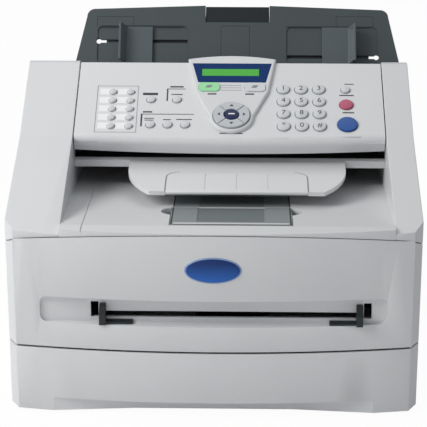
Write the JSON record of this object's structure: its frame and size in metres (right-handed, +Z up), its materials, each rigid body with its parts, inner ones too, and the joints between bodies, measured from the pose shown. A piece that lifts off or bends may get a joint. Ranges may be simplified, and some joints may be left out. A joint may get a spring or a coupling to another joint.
{
  "type": "fax machine",
  "caption": "Desktop laser fax machine with a sloped control panel, leaning document tray, front paper cassette, fold-down front cover and output well.",
  "frame": {"origin": "on the floor, under the middle of the bounding box", "axes": "+X to the right of a person facing the front, +Y to the rear, +Z up; the front faces -Y"},
  "size_m": [0.374, 0.366, 0.3154],
  "materials": {
    "shell": "fine satin moulding texture",
    "panel": "fine satin moulding texture",
    "dark_grey": "fine satin moulding texture",
    "black": "satin",
    "inner_plastic": "satin",
    "key_grey": "satin",
    "key_blue": "gloss",
    "key_pink": "gloss",
    "key_navy": "gloss",
    "key_green": "gloss",
    "display": "gloss",
    "steel": "bright sheet",
    "roller_rubber": "matt",
    "drum": "coated, semi-gloss",
    "heat_sleeve": "coated",
    "board": "solder resist",
    "foot_rubber": "matt",
    "white_plastic": "satin"
  },
  "bodies": {
    "housing": {"left_side_cover": "shell", "right_side_cover": "shell", "base_frame": "shell", "top_cover": "shell", "left_frame": "steel", "right_frame": "steel", "rear_cover": "shell", "scanner_base": "shell", "image_sensor": "black", "laser_unit": "inner_plastic", "toner_cartridge": "inner_plastic", "drum_unit": "inner_plastic", "fuser_cover": "inner_plastic", "circuit_boards": "board", "rear_sockets": "inner_plastic", "rubber_feet": "foot_rubber", "document_output_tray": "white_plastic", "document_tray": "dark_grey"},
    "front_cover": {"front_cover": "shell"},
    "feed_guide_left": {"feed_guide_left": "black"},
    "feed_guide_right": {"feed_guide_right": "black"},
    "feed_guide_pinion": {"feed_guide_pinion": "black"},
    "paper_cassette": {"paper_cassette": "shell"},
    "pressure_plate": {"pressure_plate": "steel"},
    "support_flap": {"support_flap": "shell"},
    "output_extension": {"output_extension": "white_plastic"},
    "control_panel": {"control_panel": "panel", "panel_console": "shell", "display_window": "display", "key_board": "board"},
    "document_guide_left": {"document_guide_left": "dark_grey"},
    "document_guide_right": {"document_guide_right": "dark_grey"},
    "document_guide_pinion": {"document_guide_pinion": "black"},
    "document_support": {"document_support": "black"},
    "back_door": {"back_door": "shell"},
    "pickup_roller": {"pickup_roller": "roller_rubber"},
    "photo_drum": {"photo_drum": "drum"},
    "heat_roller": {"heat_roller": "heat_sleeve"},
    "pressure_roller": {"pressure_roller": "roller_rubber"},
    "document_feed_roller": {"document_feed_roller": "roller_rubber"},
    "key_one": {"key_one": "key_grey"},
    "key_two": {"key_two": "key_grey"},
    "key_three": {"key_three": "key_grey"},
    "key_four": {"key_four": "key_grey"},
    "key_five": {"key_five": "key_grey"},
    "key_six": {"key_six": "key_grey"},
    "key_seven": {"key_seven": "key_grey"},
    "key_eight": {"key_eight": "key_grey"},
    "key_nine": {"key_nine": "key_grey"},
    "key_star": {"key_star": "key_grey"},
    "key_zero": {"key_zero": "key_grey"},
    "key_hash": {"key_hash": "key_grey"},
    "start_key": {"start_key": "key_blue"},
    "stop_key": {"stop_key": "key_pink"},
    "ok_key": {"ok_key": "key_navy"},
    "nav_pad": {"nav_pad": "key_grey"},
    "fax_mode_key": {"fax_mode_key": "key_green"},
    "copy_mode_key": {"copy_mode_key": "key_grey"},
    "function_keys": {"function_keys": "key_grey"},
    "one_touch_keys": {"one_touch_keys": "key_grey"}
  },
  "joints": [
    {"name": "front_cover_hinge", "type": "hinge", "parent": "housing", "child": "front_cover", "pos_m": [0, -0.1755, 0.075], "axis": [1, 0, 0], "range_deg": [0, 85]},
    {"name": "feed_guide_left_slide", "type": "slide", "parent": "front_cover", "child": "feed_guide_left", "axis": [1, 0, 0], "range_m": [0, 0.048]},
    {"name": "feed_guide_right_slide", "type": "slide", "parent": "front_cover", "child": "feed_guide_right", "axis": [-1, 0, 0], "range_m": [0, 0.048]},
    {"name": "feed_guide_pinion_spin", "type": "hinge", "parent": "front_cover", "child": "feed_guide_pinion", "pos_m": [0.016, -0.1628, 0.1158], "axis": [0, 1, 0], "range_deg": [0, 327.9]},
    {"name": "cassette_slide", "type": "slide", "parent": "housing", "child": "paper_cassette", "axis": [0, -1, 0], "range_m": [0, 0.25]},
    {"name": "pressure_plate_hinge", "type": "hinge", "parent": "paper_cassette", "child": "pressure_plate", "pos_m": [0.016, 0.02, 0.0089], "axis": [-1, 0, 0], "range_deg": [0, 8]},
    {"name": "support_flap_hinge", "type": "hinge", "parent": "housing", "child": "support_flap", "pos_m": [0.0155, -0.15911, 0.17918], "axis": [1, 0, 0], "range_deg": [0, 125]},
    {"name": "output_extension_hinge", "type": "hinge", "parent": "housing", "child": "output_extension", "pos_m": [0.02, -0.09517, 0.18832], "axis": [1, 0, 0], "range_deg": [0, 170]},
    {"name": "control_panel_hinge", "type": "hinge", "parent": "housing", "child": "control_panel", "pos_m": [0.0124, 0.05465, 0.26056], "axis": [-1, 0, 0], "range_deg": [0, 45]},
    {"name": "key_one_press", "type": "slide", "parent": "control_panel", "child": "key_one", "axis": [0, 0.4509, -0.8926], "range_m": [0, 0.001], "stiffness_N_per_m": 300},
    {"name": "key_two_press", "type": "slide", "parent": "control_panel", "child": "key_two", "axis": [0, 0.4509, -0.8926], "range_m": [0, 0.001], "stiffness_N_per_m": 300},
    {"name": "key_three_press", "type": "slide", "parent": "control_panel", "child": "key_three", "axis": [0, 0.4509, -0.8926], "range_m": [0, 0.001], "stiffness_N_per_m": 300},
    {"name": "key_four_press", "type": "slide", "parent": "control_panel", "child": "key_four", "axis": [0, 0.4509, -0.8926], "range_m": [0, 0.001], "stiffness_N_per_m": 300},
    {"name": "key_five_press", "type": "slide", "parent": "control_panel", "child": "key_five", "axis": [0, 0.4509, -0.8926], "range_m": [0, 0.001], "stiffness_N_per_m": 300},
    {"name": "key_six_press", "type": "slide", "parent": "control_panel", "child": "key_six", "axis": [0, 0.4509, -0.8926], "range_m": [0, 0.001], "stiffness_N_per_m": 300},
    {"name": "key_seven_press", "type": "slide", "parent": "control_panel", "child": "key_seven", "axis": [0, 0.4509, -0.8926], "range_m": [0, 0.001], "stiffness_N_per_m": 300},
    {"name": "key_eight_press", "type": "slide", "parent": "control_panel", "child": "key_eight", "axis": [0, 0.4509, -0.8926], "range_m": [0, 0.001], "stiffness_N_per_m": 300},
    {"name": "key_nine_press", "type": "slide", "parent": "control_panel", "child": "key_nine", "axis": [0, 0.4509, -0.8926], "range_m": [0, 0.001], "stiffness_N_per_m": 300},
    {"name": "key_star_press", "type": "slide", "parent": "control_panel", "child": "key_star", "axis": [0, 0.4509, -0.8926], "range_m": [0, 0.001], "stiffness_N_per_m": 300},
    {"name": "key_zero_press", "type": "slide", "parent": "control_panel", "child": "key_zero", "axis": [0, 0.4509, -0.8926], "range_m": [0, 0.001], "stiffness_N_per_m": 300},
    {"name": "key_hash_press", "type": "slide", "parent": "control_panel", "child": "key_hash", "axis": [0, 0.4509, -0.8926], "range_m": [0, 0.001], "stiffness_N_per_m": 300},
    {"name": "start_key_press", "type": "slide", "parent": "control_panel", "child": "start_key", "axis": [0, 0.4509, -0.8926], "range_m": [0, 0.001], "stiffness_N_per_m": 300},
    {"name": "stop_key_press", "type": "slide", "parent": "control_panel", "child": "stop_key", "axis": [0, 0.4509, -0.8926], "range_m": [0, 0.001], "stiffness_N_per_m": 300},
    {"name": "ok_key_press", "type": "slide", "parent": "control_panel", "child": "ok_key", "axis": [0, 0.4509, -0.8926], "range_m": [0, 0.001], "stiffness_N_per_m": 300},
    {"name": "nav_pad_press", "type": "slide", "parent": "control_panel", "child": "nav_pad", "axis": [0, 0.4509, -0.8926], "range_m": [0, 0.001], "stiffness_N_per_m": 300},
    {"name": "fax_mode_key_press", "type": "slide", "parent": "control_panel", "child": "fax_mode_key", "axis": [0, 0.4509, -0.8926], "range_m": [0, 0.001], "stiffness_N_per_m": 300},
    {"name": "copy_mode_key_press", "type": "slide", "parent": "control_panel", "child": "copy_mode_key", "axis": [0, 0.4509, -0.8926], "range_m": [0, 0.001], "stiffness_N_per_m": 300},
    {"name": "function_keys_press", "type": "slide", "parent": "control_panel", "child": "function_keys", "axis": [0, 0.4509, -0.8926], "range_m": [0, 0.001], "stiffness_N_per_m": 300},
    {"name": "one_touch_keys_press", "type": "slide", "parent": "control_panel", "child": "one_touch_keys", "axis": [0, 0.4509, -0.8926], "range_m": [0, 0.001], "stiffness_N_per_m": 300},
    {"name": "document_guide_left_slide", "type": "slide", "parent": "housing", "child": "document_guide_left", "axis": [1, 0, 0], "range_m": [0, 0.034]},
    {"name": "document_guide_right_slide", "type": "slide", "parent": "housing", "child": "document_guide_right", "axis": [-1, 0, 0], "range_m": [0, 0.034]},
    {"name": "document_guide_pinion_spin", "type": "hinge", "parent": "housing", "child": "document_guide_pinion", "pos_m": [0.0188, 0.09171, 0.27366], "axis": [0, -0.809, 0.5878], "range_deg": [-232.41, 0]},
    {"name": "document_support_slide", "type": "slide", "parent": "housing", "child": "document_support", "axis": [0, 0.5878, 0.809], "range_m": [0, 0.03]},
    {"name": "back_door_hinge", "type": "hinge", "parent": "housing", "child": "back_door", "pos_m": [0.016, 0.1804, 0.0869], "axis": [-1, 0, 0], "range_deg": [0, 80]},
    {"name": "pickup_roller_spin", "type": "hinge", "parent": "housing", "child": "pickup_roller", "pos_m": [0.016, -0.098, 0.08], "axis": [1, 0, 0], "continuous": true},
    {"name": "photo_drum_spin", "type": "hinge", "parent": "housing", "child": "photo_drum", "pos_m": [0.016, -0.008, 0.1], "axis": [1, 0, 0], "continuous": true},
    {"name": "heat_roller_spin", "type": "hinge", "parent": "housing", "child": "heat_roller", "pos_m": [0.016, 0.11, 0.122], "axis": [1, 0, 0], "continuous": true},
    {"name": "pressure_roller_spin", "type": "hinge", "parent": "housing", "child": "pressure_roller", "pos_m": [0.016, 0.11, 0.0977], "axis": [1, 0, 0], "continuous": true},
    {"name": "document_feed_roller_spin", "type": "hinge", "parent": "housing", "child": "document_feed_roller", "pos_m": [0.016, 0.04773, 0.22234], "axis": [1, 0, 0], "continuous": true}
  ],
  "couplings": [
    {"joint": "feed_guide_right_slide", "follows": "feed_guide_left_slide", "ratio": 1},
    {"joint": "feed_guide_pinion_spin", "follows": "feed_guide_left_slide", "rad_per_m": 119.05},
    {"joint": "document_guide_right_slide", "follows": "document_guide_left_slide", "ratio": 1},
    {"joint": "document_guide_pinion_spin", "follows": "document_guide_left_slide", "rad_per_m": -119.05},
    {"joint": "pressure_roller_spin", "follows": "heat_roller_spin", "ratio": -1}
  ]
}
